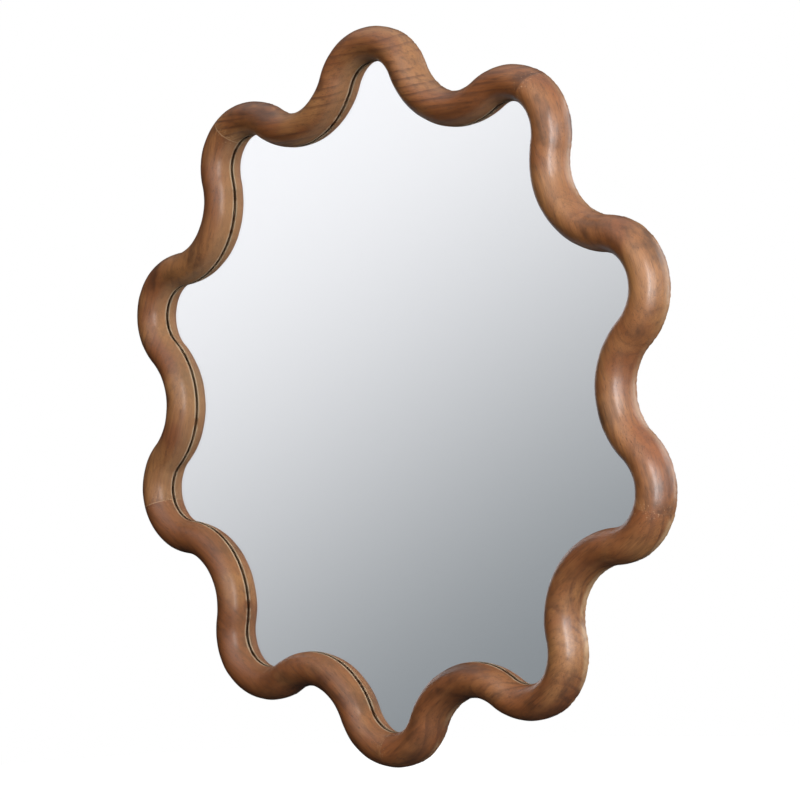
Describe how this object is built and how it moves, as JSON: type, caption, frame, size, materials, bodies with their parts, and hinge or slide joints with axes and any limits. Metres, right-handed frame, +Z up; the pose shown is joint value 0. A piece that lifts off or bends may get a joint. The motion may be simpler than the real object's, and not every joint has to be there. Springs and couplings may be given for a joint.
{
  "type": "wavy framed wall mirror",
  "caption": "Round wall mirror in a wavy, dome-sectioned frame of stained wood, hung by two D-rings behind it.",
  "frame": {"origin": "middle of the wave, on the wall plane that the five bumpers' faces lie in", "axes": "+Z up; -Y is the way the mirror faces; +X to the right of someone who looks into it"},
  "size_m": [0.8776, 0.048, 0.9139],
  "materials": {
    "stained_wood": "brown stain under satin lacquer",
    "dowel_wood": "bare beech",
    "clear_glass": "polished float glass",
    "silvering": "silvered front, grey paint behind",
    "spacer_rubber": "matt",
    "foam": "closed-cell foam",
    "fibreboard": "bare brown fibreboard",
    "zinc_screws": "zinc plated",
    "bumper_rubber": "matt",
    "strap_steel": "zinc plated",
    "ring_steel": "zinc plated"
  },
  "bodies": {
    "frame": {"rail_top": "stained_wood", "bumper_top": "bumper_rubber", "rail_upper_right": "stained_wood", "bumper_upper_right": "bumper_rubber", "rail_lower_right": "stained_wood", "bumper_lower_right": "bumper_rubber", "rail_lower_left": "stained_wood", "bumper_lower_left": "bumper_rubber", "rail_upper_left": "stained_wood", "bumper_upper_left": "bumper_rubber", "joint_dowels": "dowel_wood", "mirror_glass": "clear_glass", "silver_backing": "silvering", "glass_spacers": "spacer_rubber", "foam_pads": "foam", "back_panel": "fibreboard", "panel_screws": "zinc_screws", "bumper_screws": "zinc_screws", "hanger_screws": "zinc_screws", "hanger_strap_left": "strap_steel", "hanger_strap_right": "strap_steel"},
    "left_ring": {"d_ring_left": "ring_steel"},
    "right_ring": {"d_ring_right": "ring_steel"}
  },
  "joints": [
    {"name": "left_ring_swing", "type": "hinge", "parent": "frame", "child": "left_ring", "pos_m": [-0.28653, -0.0031, 0.30017], "axis": [1, 0, 0], "range_deg": [0, 180]},
    {"name": "right_ring_swing", "type": "hinge", "parent": "frame", "child": "right_ring", "pos_m": [0.28653, -0.0031, 0.30017], "axis": [1, 0, 0], "range_deg": [0, 180]}
  ]
}
